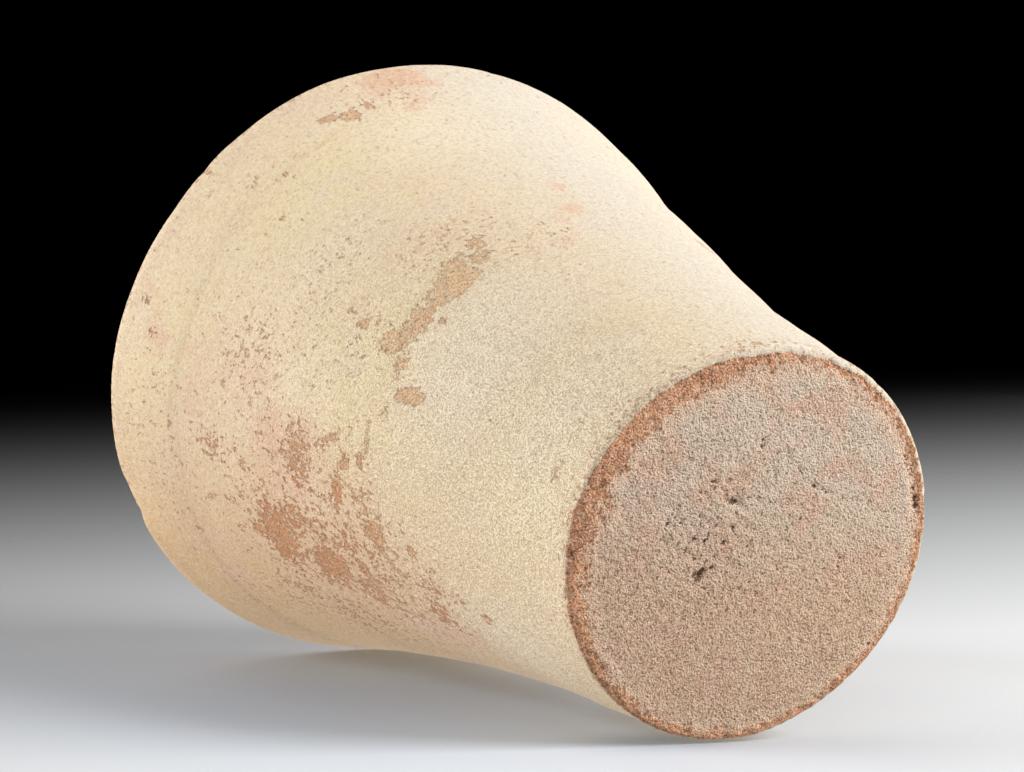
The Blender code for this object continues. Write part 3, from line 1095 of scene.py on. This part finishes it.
# Heights in millimetres for the bump: sand, grain, wiping marks, the slip's edge and specks on the
# slip, and grit, lumps, gaps and specks on the bare clay
SAND_DIP = 0.17
GRAIN_RISE = 0.12
WIPING_RISE = 0.08
SLIP_EDGE = 0.16
SPECK_DIP = 0.10
GRIT_RISE = 0.8
LUMP_RISE = 0.4
GAP_DIP = 0.4
GRIT_SPECK_DIP = 0.35
sand_height = sand_dips * -SAND_DIP * (sandiness + worn * 0.9) + (0.5 - grain) * GRAIN_RISE
slip_height = sand_height + (wiped - 0.5) * WIPING_RISE - worn * SLIP_EDGE - speckled * SPECK_DIP
grit_height = (0.5 - grit) * GRIT_RISE + (0.5 - grain) * LUMP_RISE
grit_height = grit_height - chasms * GAP_DIP - speckled * GRIT_SPECK_DIP
rough_part = bottom.atleast(ragged)
relief = slip_height * (1 - rough_part) + grit_height * rough_part
bumps = {"Strength": 1.0, "Distance": MM, "Height": relief}
bumped = relief.node("ShaderNodeBump", (), bumps)

# The slip is matt, and the bare clay more so
SLIP_MATT = 0.82
SLIP_SHEEN = 0.35
roughness = SLIP_MATT + rough_part * 0.12 + worn * 0.05 + grain * 0.05

links = slipped_clay.node_tree.links
links.new(surface.socket, shader.inputs["Base Color"])
links.new(roughness.socket, shader.inputs["Roughness"])
links.new(bumped.socket, shader.inputs["Normal"])
shader.inputs["Specular IOR Level"].default_value = SLIP_SHEEN

beaker.data.materials.clear()
beaker.data.materials.append(slipped_clay)
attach(beaker, "root")
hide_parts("beaker")


# The stage is a pale floor for views from above and, for the photograph's view, the pale ground
# that the beaker seems to lie on: a sheet that touches its foot and rim and fades into the dark.
# Each shows only its upper face, so that neither hides the beaker from a camera behind it.
FLOOR_SIZE = 6.0
FLOOR_GAP = 0.0003
FLOOR_GREY = (0.72, 0.72, 0.72)
GROUND_SIZE = 7.0
GROUND_SIDE = math.radians(-70.9)
GROUND_GREY = (0.775, 0.78, 0.785)
# Greys of the ground's painted shadow, beside the beaker and at its foot
SHADED_GREY = (0.48, 0.57, 0.70)
FOOT_SHADOW_GREY = (0.16, 0.18, 0.22)
STAGE_MATT = 0.9

# The ground keeps its grey up to about the beaker and then darkens along one line, on and on
FADE_WAY = (-0.365, 0.93, 0.0)
FADE_LENGTH = 0.433
FADE_DEPTH = 0.68
FADE_START = 1.96


def one_sided(name, colour):
    """A plain matt material that the camera sees from its front alone, and the number from 0 to 1
    that says how much of it shows."""
    material, matt = material_named(name)
    matt.inputs["Base Color"].default_value = (*colour, 1)
    matt.inputs["Roughness"].default_value = STAGE_MATT
    matt.inputs["Specular IOR Level"].default_value = 0.0
    nodes = material.node_tree.nodes
    back = Wire(nodes.new("ShaderNodeNewGeometry").outputs["Backfacing"])
    front = Wire(nodes.new("ShaderNodeLightPath").outputs["Is Camera Ray"]) * (1 - back)
    clear = Wire(nodes.new("ShaderNodeBsdfTransparent").outputs[0])
    inputs = {0: front, 1: clear, 2: Wire(matt.outputs[0])}
    mixed = clear.node("ShaderNodeMixShader", (), inputs)
    material.node_tree.links.new(mixed.socket, nodes["Material Output"].inputs["Surface"])
    return material, front


pale_floor = one_sided("pale_floor", FLOOR_GREY)[0]
bpy.ops.object.select_all(action="DESELECT")
bpy.ops.mesh.primitive_plane_add(size=FLOOR_SIZE, location=(0, 0, low.z - FLOOR_GAP))
floor = bpy.context.object
floor.name = "floor"
floor.data.materials.append(pale_floor)

pale_ground, shown = one_sided("pale_ground", GROUND_GREY)
nodes = pale_ground.node_tree.nodes
where = Wire(nodes.new("ShaderNodeTexCoord").outputs["Object"])


def around(across, up, half_across, half_up):
    """1 at this place of the ground, in metres from the foot, fading to 0 around it."""
    spread = where.stretched(1 / half_across, 1 / half_up, 0)
    inputs = {0: spread, 1: (across / half_across, up / half_up, 0)}
    apart = where.node("ShaderNodeVectorMath", {"operation": "DISTANCE"}, inputs, "Value")
    return (apart * apart * -1).maths("EXPONENT")


# Painted shadow: the ground is painted greyer beside the beaker, tinted cool so that the beaker's
# warm light hardly shows on it, and painted darkest where it meets the foot.
SHADE_BESIDE = 0.75
SHADE_AT_FOOT = 0.2
FOOT_SHADOW_DARKNESS = 0.45
shadow_beside = around(-0.03, 0.09, 0.12, 0.12)
shadow_by_foot = around(-0.012, 0.0078, 0.016, 0.012)
shade = (shadow_beside * SHADE_BESIDE + shadow_by_foot * SHADE_AT_FOOT).atmost(1.0)
ground_colour = shade.between(GROUND_GREY, SHADED_GREY).over(FOOT_SHADOW_GREY, shadow_by_foot * FOOT_SHADOW_DARKNESS)
ground_input = nodes["Principled BSDF"].inputs["Base Color"]
pale_ground.node_tree.links.new(ground_colour.socket, ground_input)
inputs = {0: where, 1: FADE_WAY}
onward = where.node("ShaderNodeVectorMath", {"operation": "DOT_PRODUCT"}, inputs, "Value")
fade = ((onward * (1 / FADE_LENGTH)).maths("EXPONENT") * -FADE_DEPTH).maths("EXPONENT")
shown = shown * (fade * FADE_START).atmost(1.0)
pale_ground.node_tree.links.new(shown.socket, nodes["Mix Shader"].inputs[0])

foot_touch = Vector(on_wall(math.degrees(GROUND_SIDE), 0.0)) * MM
rim_touch = Vector(on_wall(math.degrees(GROUND_SIDE), LIP_HEIGHT)) * MM
rising = (rim_touch - foot_touch).normalized()
across = Vector((math.sin(GROUND_SIDE), -math.cos(GROUND_SIDE), 0))
facing = across.cross(rising)
bpy.ops.mesh.primitive_plane_add(size=GROUND_SIZE, location=foot_touch - facing * FLOOR_GAP)
ground = bpy.context.object
ground.name = "ground"
ground.rotation_euler = Matrix((across, rising, facing)).transposed().to_euler()
ground.data.materials.append(pale_ground)


# The light is soft: a box from the photograph's upper right, a broad one from its left, two weak
# ones from above for the rim and floor, and one for the side that the photograph hides. A row is
# the way to the light, its distance, size and power.
LIGHT_AIM = Vector((0, 0, HEIGHT * MM / 2))
LIGHTS = (
    ("right_light", (-0.81, 0.32, -0.50), 1.3, 0.8, 20.5),
    ("left_light", (0.77, 0.45, 0.40), 2.6, 1.8, 63.0),
    ("top_light", (-0.10, 0.25, 0.96), 1.6, 1.0, 8.0),
    ("low_light", (0.60, -0.62, 0.75), 1.6, 1.2, 8.0),
    ("side_light", (-0.56, -0.66, 0.50), 1.5, 1.0, 14.0),
)
for name, direction, distance, size, power in LIGHTS:
    place = LIGHT_AIM + Vector(direction).normalized() * distance
    bpy.ops.object.light_add(type="AREA", location=place)
    light = bpy.context.object
    light.name = name
    light.rotation_euler = (place - LIGHT_AIM).to_track_quat("Z", "Y").to_euler()
    light.data.size = size
    light.data.energy = power

# The room behind is pale near the floor and dark overhead, where the photograph's view looks.
FILL = 0.35
ROOM_PALE = 0.62
world = bpy.data.worlds.new("studio")
world.use_nodes = True
bpy.context.scene.world = world
nodes = world.node_tree.nodes
backdrop = nodes["Background"]
heading = Wire(nodes.new("ShaderNodeTexCoord").outputs["Generated"])
rise = heading.node("ShaderNodeSeparateXYZ", (), {0: heading}, 2)
seen = Wire(nodes.new("ShaderNodeLightPath").outputs["Is Camera Ray"])
pale = ROOM_PALE * (1 - rise.step(0.25, 0.6))
strength = seen * pale + (1 - seen) * FILL
world.node_tree.links.new(strength.socket, backdrop.inputs["Strength"])
backdrop.inputs["Color"].default_value = (1, 1, 1, 1)
